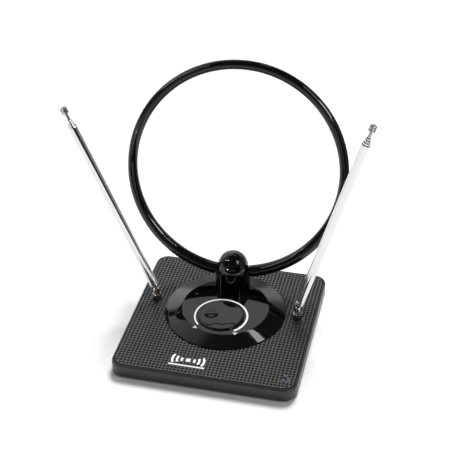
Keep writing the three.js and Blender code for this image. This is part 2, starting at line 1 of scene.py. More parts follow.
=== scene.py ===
"""The looks of an amplified indoor rabbit-ears antenna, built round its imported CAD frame.

Lengths in this file are millimetres in the part's own frame, and move() and MM turn them into
Blender's metres. Pieces in a turned group (the ring's pillar, its ball head, the two rods) are made
in that group's own frame and placed by its matrix.
"""
import math

import bmesh
import bpy
from mathutils import Matrix, Vector
from mathutils.geometry import delaunay_2d_cdt


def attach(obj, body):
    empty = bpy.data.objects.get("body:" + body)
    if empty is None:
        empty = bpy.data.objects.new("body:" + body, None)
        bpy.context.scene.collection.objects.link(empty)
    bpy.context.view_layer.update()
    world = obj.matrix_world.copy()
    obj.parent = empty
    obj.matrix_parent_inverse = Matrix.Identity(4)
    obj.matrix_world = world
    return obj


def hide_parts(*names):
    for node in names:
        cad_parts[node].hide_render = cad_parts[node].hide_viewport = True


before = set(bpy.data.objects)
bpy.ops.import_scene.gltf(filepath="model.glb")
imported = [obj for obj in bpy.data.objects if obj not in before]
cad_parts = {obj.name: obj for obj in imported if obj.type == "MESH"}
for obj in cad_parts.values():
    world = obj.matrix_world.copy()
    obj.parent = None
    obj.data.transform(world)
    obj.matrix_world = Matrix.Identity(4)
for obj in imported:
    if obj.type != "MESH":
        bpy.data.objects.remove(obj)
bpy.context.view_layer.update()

MM = 0.001
SMOOTH_ANGLE = math.radians(34)
WELD = 1e-4  # points closer than this are one
ON_AXIS = 1e-6  # the smallest radius of a turned profile

# ------------------------------------------------------------------ sizes, mostly those of the CAD
BASE = {"half": 75.0, "top": 11.0, "corner": 10.5, "edge": 2.0, "wall": 2.2,
        "roof": 8.8, "floor": 2.0}
SEAM = {"from": 1.9, "to": 2.8, "depth": 0.9}  # inset from the edge, and how deep it is cut
GRID = {"pitch": 2.98, "count": 48, "half": 1.12, "floor_half": 0.85, "depth": 0.8,
        "chamfer": 0.34}
CLEAR = {"seam": 0.3, "bezel": -2.5, "led": 1.6, "rod": 4.4}  # room round what pits keep off
ROD_HOLE = 3.5
FOOT = {"x": 58.0, "y": 58.0, "radius": 5.2, "low": -1.5, "high": 0.7, "pocket": 5.5}
CASE_SCREW = {"x": 66.0, "y": 40.0, "head": 3.0, "shaft": 1.3, "low": 0.35, "shoulder": 1.1,
              "high": 7.4, "pocket": 3.4, "pocket_depth": 1.4}
VENTS = {"half": 24.0, "half_width": 0.8, "rows": (8, 14, 20, 26)}
BEZEL = {"y": 10.5, "rim": 50.0, "low": 11.3, "lip": 11.8, "plateau": 36.0, "top": 15.05,
         "hole": 38.5, "skin": 1.6, "skirt": 9.3}
# A near-black ring under the bezel's rim: a painted shadow for the gap there.
SHADOW_RING = {"inner": 44.0, "outer": 50.6, "low": 11.02, "high": 11.26}
DIAL = {"x": -0.7, "y": -2.4, "radius": 18.8, "top": 16.35, "skirt": 13.6, "recess": 19.5,
        "floor": 13.2, "edge": 1.6, "edge_drop": 0.9, "skin": 1.35, "shaft_hole": 4.8}
DIMPLE = {"x": -8.5, "y": 1.0, "radius": 7.6, "depth": 0.25}
SINK = {"depth": 0.05, "reach": 11.6, "width": 0.5, "wave": 0.6, "front": 13.7}
PRINTED = {"lift": 0.01, "thick": 0.05}
ARC = {  # printed round the dial; marks are x, y and the half widths of their bars
    "radius": 21.6, "start": 222.0, "sweep": 270.0, "thin": 0.6, "thick": 0.9,
    "marks": ((-17.6, -17.0, (0.5, 1.1, 1.8)), (16.0, -18.6, (1.8, 1.1, 0.5))),
    "bar": 0.33, "row": 1.0,
}
MARK = {  # the sign at the front: a dot, arcs on both sides and a bar
    "x": -14.5, "y": -57.5, "thick": 0.22, "dot": 1.8, "dot_ends": (2.4, -1.2),
    "radii": (5.2, 9.0, 12.8), "spread": 24, "squash": 0.9, "arc_y": 0.6, "arc": 0.95,
    "bar": 0.7, "bar_half": 14.6, "bar_y": -6.2,
}
LED = {"x": 63.0, "y": -62.5, "radius": 2.5, "flange": 2.95, "tip": 10.75, "crown": 0.9,
       "low": 6.0, "base": 2.7, "base_high": 6.9}
GLAND = {"x": -20.0, "y": 75.0, "z": 5.45}
JACK = {"x": (16.0, 24.0), "y": (62.5, 74.6), "z": (2.3, 8.2), "bore": 1.75, "bore_depth": 8.0}
PILLAR = {"x": -1.8, "y": 45.6, "radius": 14.75, "turn": 3.4, "seat": 8.1, "well": 11.2}
CUP = {"radius": 14.0, "floor": 9.75, "rim": 1.2, "ear": 5.6, "eye": 4.55}
HEAD = {"radius": 13.3, "band": 3.75, "flange": 13.5, "lean": 16.5, "hinge": 26.9, "wall": 1.8,
        "seam": 0.15, "ball": 9.3, "cavity": 7.3, "bore": 4.5}
CROWN = {"radius": 13.35, "height": 16.9, "power": 2.3}
HEAD_SCREWS = {"at": ((-6.4, -7.6), (6.4, 7.6)), "radius": 2.5}
RING = {"radius": 88.4, "drop": 0.6, "root": 5.05, "thin": 4.0, "neck": 3.6, "shoulder": 15.1,
        "end": 6.5}
ROD = {"x": 60.0, "y": 13.2, "pivot": 21.5}
ROD_POSES = {"left": (-1, -22.3, 0.0), "right": (1, 17.2, 16.6)}  # side, lean, turn
KNUCKLE = {"radius": 2.65, "slot": 1.25, "slot_floor": 3.6, "pin": 0.8, "hole": 1.1, "head": 1.15,
           "stem": 2.0, "stem_low": 4.5, "shoulder": 16.6}
TONGUE = {"plug": 2.95, "plug_low": 4.6, "plug_high": 10.6, "half_width": 2.0, "half_thick": 1.05,
          "eye": 2.45}
TUBES = [  # outer radius, inner radius, start and end along the rod
    (3.6, 3.15, 3.9, 162.6),
    (3.0, 2.6, 11.2, 164.5),
    (2.45, 2.05, 12.0, 166.3),
    (1.9, 1.5, 12.8, 168.1),
]
CRIMPS = (5.5, 7.8)
TIP = {"radius": 1.25, "low": 13.6, "knob": 2.9, "knob_low": 173.8, "end": 179.2}
FLOOR_Z = FOOT["low"]


# ------------------------------------------------------------------ frames
def fields(table, names):
    """A table's values under these names, in this order."""
    return [table[name] for name in names.split()]


def move(x, y, z):
    return Matrix.Translation((x * MM, y * MM, z * MM))


def turn(degrees, axis):
    return Matrix.Rotation(math.radians(degrees), 4, axis)


HERE = Matrix.Identity(4)
AT_PILLAR = move(PILLAR["x"], PILLAR["y"], 0) @ turn(PILLAR["turn"], "Z")
AT_HEAD = AT_PILLAR @ move(0, 0, HEAD["hinge"]) @ turn(-HEAD["lean"], "X")
AT_BEZEL = move(0, BEZEL["y"], 0)
AT_DIAL = move(DIAL["x"], DIAL["y"], 0)
CORNERS = [(sx, sy) for sx in (-1, 1) for sy in (-1, 1)]


def socket_frame(side):
    sign, _, turned = ROD_POSES[side]
    return move(sign * ROD["x"], ROD["y"], 0) @ turn(turned, "Z")


def rod_frame(side):
    return socket_frame(side) @ move(0, 0, ROD["pivot"]) @ turn(ROD_POSES[side][1], "Y")


# ------------------------------------------------------------------ materials
def new_material(name):
    mat = bpy.data.materials.new(name)
    mat.use_nodes = True
    return mat, mat.node_tree.nodes, mat.node_tree.links


def node(nodes, kind, **settings):
    made = nodes.new(kind)
    for key, value in settings.items():
        if key in made.inputs:
            made.inputs[key].default_value = value
        else:
            setattr(made, key, value)
    return made


def noise(nodes, links, where, scale, detail):
    made = node(nodes, "ShaderNodeTexNoise", Scale=scale, Detail=detail, Roughness=0.55)
    links.new(where, made.inputs["Vector"])
    return made.outputs["Fac"]


def span(nodes, links, value, low, high, to_low, to_high):
    made = node(nodes, "ShaderNodeMapRange")
    made.inputs["From Min"].default_value = low
    made.inputs["From Max"].default_value = high
    made.inputs["To Min"].default_value = to_low
    made.inputs["To Max"].default_value = to_high
    links.new(value, made.inputs["Value"])
    return made.outputs["Result"]


def blend(nodes, links, value, first, second):
    """A mix of two colours; each is a socket or an (r, g, b) value."""
    made = node(nodes, "ShaderNodeMix", data_type="RGBA")
    links.new(value, made.inputs["Factor"])
    colour_in = [s for s in made.inputs if s.type == "RGBA"]
    for socket, colour in zip(colour_in, (first, second)):
        if isinstance(colour, tuple):
            socket.default_value = (*colour, 1)
        else:
            links.new(colour, socket)
    return [s for s in made.outputs if s.type == "RGBA"][0]


def surface(name, dark, light, patch, rough, grain, grain_height, wave=None, stretch=None,
            **shader):
    """A Principled material.

    Blotches, patch of them to the metre, run between two colours, and smudges between the two
    roughnesses of rough. A fine bump has grain bumps to the metre, grain_height millimetres high,
    and wave is the same pair for a slow bump under it. The shader's own inputs come last."""
    mat, nodes, links = new_material(name)
    bsdf = nodes["Principled BSDF"]
    for key, value in shader.items():
        bsdf.inputs[key.replace("_", " ")].default_value = value
    where = node(nodes, "ShaderNodeTexCoord").outputs["Object"]
    if stretch:
        mapping = node(nodes, "ShaderNodeMapping")
        mapping.inputs["Scale"].default_value = stretch
        links.new(where, mapping.inputs["Vector"])
        where = mapping.outputs["Vector"]
    blotch = noise(nodes, links, where, patch, 4)
    links.new(blend(nodes, links, blotch, dark, light), bsdf.inputs["Base Color"])
    smudge = noise(nodes, links, where, patch * 2.3, 5)
    links.new(span(nodes, links, smudge, 0.35, 0.7, *rough), bsdf.inputs["Roughness"])
    bump = node(nodes, "ShaderNodeBump", Strength=1.0, Distance=grain_height * MM)
    links.new(noise(nodes, links, where, grain, 2), bump.inputs["Height"])
    if wave:
        scale, height = wave
        slow = node(nodes, "ShaderNodeBump", Strength=1.0, Distance=height * MM)
        links.new(noise(nodes, links, where, scale, 1), slow.inputs["Height"])
        links.new(slow.outputs["Normal"], bump.inputs["Normal"])
    links.new(bump.outputs["Normal"], bsdf.inputs["Normal"])
    return mat


SATIN = surface("satin_black_plastic", (0.017, 0.017, 0.0175), (0.023, 0.023, 0.024), 60,
                (0.34, 0.42), 2600, 0.012)
GLOSS = surface("gloss_black_plastic", (0.0012, 0.0012, 0.0013), (0.0022, 0.0022, 0.0023), 45,
                (0.035, 0.07), 1500, 0.0006, wave=(40, 0.012))
# The lands of the pitted top: the cover's black plastic with a fine grain, made lighter and shinier
# than the sides as painted light on the top face.
LANDS_PAINTED_LIGHT = surface("grained_black_painted_light", (0.040, 0.040, 0.040), (0.054, 0.054, 0.055), 60,
                (0.32, 0.40), 2600, 0.012, Specular_IOR_Level=0.9)
# Darker, duller plastic in the pits: painted shade in the recesses, with a rougher finish.
PIT_PAINTED_SHADE = surface("pit_painted_shade_black", (0.018, 0.018, 0.018), (0.026, 0.026, 0.026), 90,
              (0.5, 0.6), 3000, 0.015, Specular_IOR_Level=0.4)
# The seam groove's near-black, dull plastic: painted shade in the groove round the top.
SEAM_PAINTED_SHADE = surface("seam_painted_shade_black", (0.003, 0.003, 0.003), (0.006, 0.006, 0.006), 160,
                (0.75, 0.85), 3000, 0.02, Specular_IOR_Level=0.2)
SMOKE = surface("smoke_grey_plastic", (0.010, 0.010, 0.011), (0.018, 0.018, 0.019), 90,
                (0.08, 0.14), 1800, 0.003, Specular_IOR_Level=0.9)
RUBBER = surface("foot_rubber", (0.012, 0.012, 0.012), (0.02, 0.02, 0.02), 150,
                 (0.7, 0.85), 3200, 0.05)
CHROME = surface("drawn_chrome", (0.66, 0.66, 0.67), (0.72, 0.72, 0.725), 90,
                 (0.05, 0.11), 2400, 0.0015, stretch=(1, 1, 0.03), Metallic=1.0)
BRASS = surface("nickel_brass", (0.66, 0.57, 0.47), (0.82, 0.74, 0.64), 260,
                (0.10, 0.2), 3000, 0.004, Metallic=1.0)
NICKEL = surface("satin_nickel", (0.33, 0.315, 0.31), (0.43, 0.41, 0.40), 200,
                 (0.16, 0.26), 2600, 0.004, Metallic=1.0)
STEEL = surface("zinc_steel", (0.42, 0.43, 0.44), (0.56, 0.57, 0.58), 180,
                (0.3, 0.45), 2600, 0.01, Metallic=1.0)
BOARD = surface("circuit_board_green", (0.010, 0.07, 0.022), (0.02, 0.12, 0.04), 120,
                (0.35, 0.5), 1800, 0.02)
LENS = surface("led_lens_resin", (0.055, 0.065, 0.12), (0.085, 0.10, 0.17), 420,
               (0.08, 0.16), 1500, 0.002, Transmission_Weight=0.35, IOR=1.52)
# Near-black and dull: the painted shadow under the bezel's rim.
SHADOW_BLACK = surface("painted_shadow_black", (0.002, 0.002, 0.002), (0.005, 0.005, 0.005), 300,
               (0.85, 0.95), 3000, 0.06, Specular_IOR_Level=0.1)
PRINT = surface("white_print_ink", (0.74, 0.74, 0.76), (0.84, 0.84, 0.85), 240,
                (0.4, 0.5), 3000, 0.003)


# ------------------------------------------------------------------ meshes and pieces
def new_object(name, data):
    made = bpy.data.objects.new(name, data)
    bpy.context.scene.collection.objects.link(made)
    return made


def mesh_of(bm, name):
    bmesh.ops.remove_doubles(bm, verts=bm.verts, dist=WELD)
    bmesh.ops.recalc_face_normals(bm, faces=bm.faces)
    bmesh.ops.scale(bm, vec=(MM, MM, MM), verts=bm.verts)
    mesh = bpy.data.meshes.new(name)
    bm.to_mesh(mesh)
    bm.free()
    return mesh


def loft(bm, loops, caps=(False, False)):
    """Faces between successive closed loops of equal point counts; returns their vertices."""
    rows = [[bm.verts.new(p) for p in loop] for loop in loops]
    count = len(rows[0])
    for a, b in zip(rows, rows[1:]):
        for i in range(count):
            j = (i + 1) % count
            bm.faces.new((a[i], a[j], b[j], b[i]))
    if caps[0]:
        bm.faces.new(rows[0])
    if caps[1]:
        bm.faces.new(rows[-1])
    return rows


def rounded(corners, steps=4):
    """The (r, z) points of a profile whose corners (r, z, fillet) are rounded off."""
    points = []
    for i, (r, z, fillet) in enumerate(corners):
        here = Vector((r, z))
        if not fillet or i in (0, len(corners) - 1):
            points.append(here)
            continue
        back = Vector(corners[i - 1][:2]) - here
        ahead = Vector(corners[i + 1][:2]) - here
        half = back.angle(ahead) / 2
        reach = min(fillet / math.tan(half), back.length * 0.49, ahead.length * 0.49)
        middle = (back.normalized() + ahead.normalized()).normalized()
        centre = here + middle * (reach / math.cos(half))
        start, end = (here + way.normalized() * reach - centre for way in (back, ahead))
        for k in range(steps + 1):
            points.append(centre + start.slerp(end, k / steps).normalized() * start.length)
    return points


def swept(profile, sides):
    """The faces swept about Z by an open profile of (r, z) points."""
    angles = [2 * math.pi * i / sides for i in range(sides)]
    bm = bmesh.new()
    loft(bm, [[(max(r, ON_AXIS) * math.cos(a), max(r, ON_AXIS) * math.sin(a), z) for a in angles]
              for r, z in profile])
    return bm


def lathe(profile, sides):
    """A turned body about Z from a profile that starts and ends on the axis, or that is closed
    here if it starts off the axis."""
    closing = [profile[0]] if profile[0][0] >= ON_AXIS else []
    return swept(list(profile) + closing, sides)


def piece(name, mesh, material, body, at=HERE, replaces=()):
    """A finished piece in place: shaded smooth, riding on its body, with its material and slot.

    The chrome's drawn streaks run along the piece, so its meshes keep their own frame."""
    made = new_object(name, mesh)
    if material is CHROME:
        made.matrix_world = at
    else:
        mesh.transform(at)
    mesh.shade_smooth()
    mesh.set_sharp_from_angle(angle=SMOOTH_ANGLE)
    mesh.materials.clear()
    mesh.materials.append(material)
    weighted = made.modifiers.new("even_normals", "WEIGHTED_NORMAL")
    weighted.keep_sharp = True
    weighted.weight = 80
    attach(made, body)
    if replaces:
        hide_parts(*replaces)
    return made


def carved(bm, name, cuts=(), adds=(), keeps=()):
    """The mesh of bm with shapes joined to it, kept to the inside of others, and then cut."""
    base = new_object(name, mesh_of(bm, name))
    helpers = []
    for kind, tools in (("UNION", adds), ("INTERSECT", keeps), ("DIFFERENCE", cuts)):
        for tool in tools:
            helper = new_object(name + "_tool", mesh_of(tool, name + "_tool"))
            step = base.modifiers.new(kind, "BOOLEAN")
            step.operation, step.object, step.solver = kind, helper, "EXACT"
            helpers.append(helper)
    seen = base.evaluated_get(bpy.context.evaluated_depsgraph_get())
    mesh = bpy.data.meshes.new_from_object(seen)
    for spare in (base, *helpers):
        bpy.data.objects.remove(spare)
    return mesh


def reopened(mesh):
    """A finished mesh as a bmesh in millimetres again."""
    bm = bmesh.new()
    bm.from_mesh(mesh)
    bmesh.ops.scale(bm, vec=(1 / MM, 1 / MM, 1 / MM), verts=bm.verts)
    return bm


def placed(bm, matrix):
    """bm turned and shifted by a matrix whose shift is in millimetres."""
    bmesh.ops.transform(bm, matrix=matrix, verts=bm.verts)
    return bm


def shift(x, y, z=0.0):
    return Matrix.Translation((x, y, z))


def rod_shape(radius, low, high, sides=64):
    return lathe([(0, low), (radius, low), (radius, high), (0, high)], sides)


def box_shape(x, y, z):
    """A block from (low, high) pairs."""
    bm = bmesh.new()
    loops = [[(x[0], y[0], h), (x[1], y[0], h), (x[1], y[1], h), (x[0], y[1], h)] for h in z]
    loft(bm, loops, caps=(True, True))
    return bm


# ------------------------------------------------------------------ base
def outline(inset, z):
    """The base's rounded square, this far in from its edge."""
    steps = 14
    reach, radius = BASE["half"] - BASE["corner"], BASE["corner"] - inset
    points = []
    for i, (sx, sy) in enumerate(((1, 1), (-1, 1), (-1, -1), (1, -1))):
        for k in range(steps + 1):
            a = math.radians(90 * (i + k / steps))
            points.append((sx * reach + radius * math.cos(a), sy * reach + radius * math.sin(a), z))
    return points


def circle_points(x, y, radius, z, sides):
    return [(x + radius * math.cos(2 * math.pi * i / sides),
             y + radius * math.sin(2 * math.pi * i / sides), z) for i in range(sides)]


def pit_corners(x, y, half, z):
    """A square with cut corners about (x, y)."""
    c = GRID["chamfer"] * half / GRID["half"]
    near = half - c
    corners = ((half, -near), (half, near), (near, half), (-near, half),
               (-half, near), (-half, -near), (-near, -half), (near, -half))
    return [(x + dx, y + dy, z) for dx, dy in corners]


def past_corner(x, y):
    """How far a point stands from the square that joins the corner arcs' centres."""
    reach = BASE["half"] - BASE["corner"]
    return Vector((max(abs(x) - reach, 0), max(abs(y) - reach, 0))).length


def in_field(x, y):
    """Whether a whole pit fits here: inside the seam, and clear of the bezel, LED and rods."""
    limit = BASE["corner"] - SEAM["to"] - CLEAR["seam"] - GRID["half"] * 1.15
    inside = past_corner(x, y) <= limit
    clear_bezel = math.hypot(x, y - BEZEL["y"]) > BEZEL["rim"] + CLEAR["bezel"]
    clear_led = math.hypot(x - LED["x"], y - LED["y"]) > LED["flange"] + CLEAR["led"]
    clear_rods = all(math.hypot(x - s * ROD["x"], y - ROD["y"]) > CLEAR["rod"] for s in (-1, 1))
    return inside and clear_bezel and clear_led and clear_rods


def pit_centres():
    middle = (GRID["count"] - 1) / 2
    spots = [(i - middle) * GRID["pitch"] for i in range(GRID["count"])]
    return [(x, y) for x in spots for y in spots if in_field(x, y)]


def top_cover():
    """The cover's shell with its rounded edge, the seam round its top and the pitted top face."""
    bm = bmesh.new()
    top, edge, wall, roof = fields(BASE, "top edge wall roof")
    fillet = [(edge - edge * math.cos(a), top - edge + edge * math.sin(a))
              for a in (math.radians(9 * k) for k in range(11))]
    groove_floor = top - SEAM["depth"]
    groove = [(SEAM["from"], groove_floor), (SEAM["to"], groove_floor), (SEAM["to"], top)]
    foot_chamfer = 0.35
    outside = [(foot_chamfer, 0), (0, foot_chamfer)] + fillet + groove
    inside = [(wall, roof), (wall, 0)]
    loft(bm, [outline(inset, z) for inset, z in inside + outside])
    holes = [(0, BEZEL["y"], BEZEL["hole"], 96), (LED["x"], LED["y"], LED["flange"], 24)]
    holes += [(s * ROD["x"], ROD["y"], ROD_HOLE, 24) for s in (-1, 1)]
    above, below = ([circle_points(x, y, r, z, n) for x, y, r, n in holes] for z in (top, roof))
    pits = pit_centres()
    mouths = [pit_corners(x, y, GRID["half"], top) for x, y in pits]
    fill_plane(bm, outline(SEAM["to"], top), above + mouths, top)
    fill_plane(bm, outline(wall, roof), below, roof)
    for pair in zip(below, above):
        loft(bm, pair)
    levels = ((GRID["half"], 0.0), (GRID["half"] - 0.1, 0.16), (GRID["floor_half"], GRID["depth"]))
    for x, y in pits:
        loft(bm, [pit_corners(x, y, half, top - deep) for half, deep in levels],
             caps=(False, True))
    return mesh_of(bm, "top_cover_shell")


# Over the cover's own satin: painted shade in the seam, painted light on the lands, painted shade
# in the pits.
COVER_PAINTED_TONES = (SEAM_PAINTED_SHADE, LANDS_PAINTED_LIGHT, PIT_PAINTED_SHADE)  # after the cover's own satin: the seam, the lands, the pits


def cover_finish_and_painted_tone(face):
    """Which material a face of the cover has: 0 outside the seam, 1 in it (painted shade), 2 on the
    lands between the pits (painted light), 3 in a pit (painted shade)."""
    x, y, z = face.center / MM
    inset = BASE["corner"] - past_corner(x, y)
    deep = BASE["top"] - z
    if inset < SEAM["from"] - 0.05 or deep > SEAM["depth"] + 0.01:
        return 0
    if inset < SEAM["to"] + 0.02:
        return 1
    return 3 if deep > 0.1 else 2


def fill_plane(bm, rim, holes, z):
    """Triangles between a rim and the holes in it, all at one height."""
    points, faces = [], []
    for loop in [rim] + holes:
        faces.append(list(range(len(points), len(points) + len(loop))))
        points += [Vector(p[:2]) for p in loop]
    found = delaunay_2d_cdt(points, [], faces, 1, 1e-5)
    spots, triangles, origins = found[0], found[2], found[5]
    verts = [bm.verts.new((p.x, p.y, z)) for p in spots]
    for corners, origin in zip(triangles, origins):
        if list(origin) == [0]:
            bm.faces.new([verts[i] for i in corners])


def bottom_cover():
    """The bottom plate, with a pocket for each foot and screw and four vents across it."""
    margin, chamfer, screw, vent = BASE["wall"] + 0.3, 0.4, CASE_SCREW, VENTS
    bm = bmesh.new()
    profile = [(margin + chamfer, 0), (margin, chamfer), (margin, BASE["floor"])]
    loft(bm, [outline(inset, z) for inset, z in profile], caps=(True, True))
    cuts = [placed(rod_shape(FOOT["pocket"], -1, 1, 48), shift(sx * FOOT["x"], sy * FOOT["y"]))
            for sx, sy in CORNERS]
    cuts += [placed(rod_shape(screw["pocket"], -1, screw["pocket_depth"], 32),
                    shift(sx * screw["x"], sy * screw["y"])) for sx, sy in CORNERS]
    cuts += [box_shape((-vent["half"], vent["half"]),
                       (y - vent["half_width"], y + vent["half_width"]), (-1, 3))
             for y in vent["rows"]]
    return carved(bm, "bottom_plate", cuts)


def foot():
    low, high, r = fields(FOOT, "low high radius")
    return lathe(rounded([(0, low, 0), (r, low, 0.7), (r, high, 0), (0, high, 0)]), 64)


def case_screw():
    """A pan-head screw that points up, with a cross recess and a threaded shaft."""
    head, shaft, low, shoulder, high = fields(CASE_SCREW, "head shaft low shoulder high")
    pitch, crest, point = 0.9, 0.2, 0.8
    profile = [(0, low, 0), (head, low, 0.5), (head, shoulder, 0.1), (shaft, shoulder, 0)]
    z = shoulder + 0.6
    while z < high - 1.4:
        profile += [(shaft, z, 0), (shaft + crest, z + pitch * 0.3, 0), (shaft, z + pitch * 0.6, 0)]
        z += pitch
    profile += [(shaft, high - point, 0), (0, high, 0)]
    arm, half_width, recess = head * 0.55, 0.3, (low - 1, low + 0.7)
    cuts = [box_shape((-arm, arm), (-half_width, half_width), recess),
            box_shape((-half_width, half_width), (-arm, arm), recess)]
    return carved(lathe(rounded(profile), 40), "screw", cuts)


def bezel():
    """The glossy cone with its flat top, dial recess and pillar seat, about its own axis."""
    low, lip, top, skin = fields(BEZEL, "low lip top skin")
    under, spigot = top - skin, BEZEL["hole"] - 0.3
    body = lathe(rounded([
        (0, under, 0), (spigot - skin, under, 0), (spigot - skin, BEZEL["skirt"], 0),
        (spigot, BEZEL["skirt"], 0), (spigot, low, 0), (BEZEL["rim"], low, 0.1),
        (BEZEL["rim"], lip, 0.2), (BEZEL["plateau"] + 0.6, top - 0.13, 0.25),
        (BEZEL["plateau"], top, 0.25), (0, top, 0),
    ], 3), 192)
    at_dial = shift(DIAL["x"], DIAL["y"] - BEZEL["y"])
    at_pillar = shift(PILLAR["x"], PILLAR["y"] - BEZEL["y"])
    adds = [
        placed(rod_shape(DIAL["recess"] + skin, DIAL["floor"] - skin, under + 0.2, 96), at_dial),
        placed(rod_shape(PILLAR["radius"], low, top, 128), at_pillar),
    ]
    cuts = [
        placed(rod_shape(DIAL["recess"], DIAL["floor"], top + 1, 128), at_dial),
        placed(rod_shape(DIAL["shaft_hole"], 10, top + 1, 48), at_dial),
        placed(rod_shape(PILLAR["seat"], 8, top + 1, 64), at_pillar),
        placed(rod_shape(PILLAR["well"], 8, low, 64), at_pillar),
    ]
    return carved(body, "bezel", cuts, adds)


def shadow_ring():
    """A thin near-black ring under the cone's rim: a painted shadow that shows as a dark line round
    it.
    """
    inner, outer, low, high = fields(SHADOW_RING, "inner outer low high")
    return lathe(rounded([(inner, low, 0), (outer, low, 0), (outer, high, 0.08),
                          (inner, high, 0)]), 192)


def dial_height(x, y):
    """The dial's top: a finger dimple, and a slight sink behind a wavy line near its front."""
    away = math.hypot(x - DIMPLE["x"], y - DIMPLE["y"]) / DIMPLE["radius"]
    dish = DIMPLE["depth"] * (0.5 + 0.5 * math.cos(math.pi * away)) if away < 1 else 0
    lean = math.radians(SINK["front"])
    forward = x * math.sin(lean) - y * math.cos(lean)
    across = x * math.cos(lean) + y * math.sin(lean)
    ripple = SINK["wave"] * math.sin(0.55 * across + 0.6) + 0.25 * math.sin(1.3 * across)
    past = (forward - (SINK["reach"] + ripple)) / SINK["width"]
    return DIAL["top"] - dish - SINK["depth"] * (0.5 - 0.5 * math.tanh(past))


def dial():
    """The knob's cap over a stepped skirt and a hub."""
    r, top, skirt, edge, drop = fields(DIAL, "radius top skirt edge edge_drop")
    sides, rings = 144, 60
    flat, under, lip = r - edge, top - DIAL["skin"], 0.15
    hub, hub_low, bore, bore_high = 4.3, 12.2, 2.3, 14.9
    bm = bmesh.new()
    angles = [2 * math.pi * i / sides for i in range(sides)]
    loops = []
    for q in (flat * k / rings for k in range(1, rings + 1)):
        spots = [(q * math.cos(a), q * math.sin(a)) for a in angles]
        loops.append([(x, y, dial_height(x, y)) for x, y in spots])
    shoulder = [(flat + edge * math.sin(t), top - drop + drop * math.cos(t))
                for t in (math.radians(9 * k) for k in range(1, 11))]
    below = shoulder + [(r, skirt + lip), (r - lip, skirt), (flat, skirt), (flat, under),
                        (hub, under), (hub, hub_low), (bore, hub_low), (bore, bore_high)]
    loops += [[(q * math.cos(a), q * math.sin(a), z) for a in angles] for q, z in below]
    rows = loft(bm, loops, caps=(False, True))
    middle = bm.verts.new((0, 0, dial_height(0, 0)))
    for i in range(sides):
        bm.faces.new((middle, rows[0][i], rows[0][(i + 1) % sides]))
    return mesh_of(bm, "dial")


def flat_strip(centre_line, half_widths, z, thick):
    """A thin flat band along a line of (x, y) points, with a half width at each."""
    bm = bmesh.new()
    sections = []
    for i, (x, y) in enumerate(centre_line):
        before = Vector(centre_line[max(i - 1, 0)])
        after = Vector(centre_line[min(i + 1, len(centre_line) - 1)])
        ahead = (after - before).normalized()
        side = Vector((-ahead.y, ahead.x)) * half_widths[i]
        sections.append([(x + side.x, y + side.y, z), (x - side.x, y - side.y, z),
                         (x - side.x, y - side.y, z + thick), (x + side.x, y + side.y, z + thick)])
    loft(bm, sections, caps=(True, True))
    return bm


def merged(parts):
    """Several bmeshes as one."""
    whole = bmesh.new()
    for part in parts:
        spare = bpy.data.meshes.new("spare")
        part.to_mesh(spare)
        part.free()
        whole.from_mesh(spare)
        bpy.data.meshes.remove(spare)
    return whole


def level_arc():
    """The printed arc round the dial, with a small wedge of bars beside each end."""
    steps = 120
    line, halves = [], []
    for k in range(steps + 1):
        a = math.radians(ARC["start"] - ARC["sweep"] * k / steps)
        line.append((ARC["radius"] * math.cos(a), ARC["radius"] * math.sin(a)))
        halves.append(ARC["thin"] + (ARC["thick"] - ARC["thin"]) * k / steps)
    z, thick = BEZEL["top"] + PRINTED["lift"], PRINTED["thick"]
    parts = [flat_strip(line, halves, z, thick)]
    for x, y, bars in ARC["marks"]:
        for row, half in enumerate(bars):
            y_row = y - ARC["row"] * row
            ends = [(x - half, y_row), (x + half, y_row)]
            parts.append(flat_strip(ends, [ARC["bar"]] * 2, z, thick))
    return mesh_of(merged(parts), "level_arc")


def wave_mark():
    """A plain generic sign for a radio signal: a dot between arcs, over a bar."""
    z, thick = BASE["top"] + PRINTED["lift"], MARK["thick"]
    dot = [(0.0, y) for y in MARK["dot_ends"]]
    bar = [(-MARK["bar_half"], MARK["bar_y"]), (MARK["bar_half"], MARK["bar_y"])]
    parts = [flat_strip(dot, [MARK["dot"]] * 2, z, thick),
             flat_strip(bar, [MARK["bar"]] * 2, z, thick)]
    for side in (0, 180):
        for radius in MARK["radii"]:
            angles = [math.radians(side + a) for a in range(-MARK["spread"], MARK["spread"] + 1, 4)]
            line = [(radius * math.cos(a), MARK["arc_y"] + radius * MARK["squash"] * math.sin(a))
                    for a in angles]
            parts.append(flat_strip(line, [MARK["arc"]] * len(line), z, thick))
    return mesh_of(merged(parts), "wave_mark")


def led():
    """The indicator's lens: a low dome on a short barrel with a flange."""
    r, crown, tip_z, low, base, base_high = fields(LED, "radius crown tip low base base_high")
    dome = [(r * math.cos(a), tip_z - crown + crown * math.sin(a))
            for a in (math.radians(7.5 * k) for k in range(13))]
    dome[-1] = (0, tip_z)
    return lathe([(0, low), (base, low), (base, base_high), (r, base_high)] + dome, 48)


def gland():
    """The rubber bush that a cord would come out of, at the back."""
    bore, waist, rim = 1.6, 2.5, 3.2
    profile = rounded([(bore, -4, 0), (rim, -4, 0.2), (rim, -2.6, 0), (waist, -2.6, 0),
                       (waist, 0.3, 0), (rim, 0.3, 0.2), (2.7, 1.4, 0.3), (bore, 1.4, 0.2)])
    return placed(lathe(profile, 48), shift(GLAND["x"], GLAND["y"], GLAND["z"]) @ turn(-90, "X"))


def jack():
    """The power inlet's block, with its bore at the back."""
    body = box_shape(JACK["x"], JACK["y"], JACK["z"])
    bmesh.ops.bevel(body, geom=body.edges[:], offset=0.25, segments=2, affect="EDGES")
    mouth = shift(sum(JACK["x"]) / 2, JACK["y"][1], sum(JACK["z"]) / 2)
    bore = placed(rod_shape(JACK["bore"], -1, JACK["bore_depth"], 32), mouth @ turn(90, "X"))
    return carved(body, "jack", [bore])


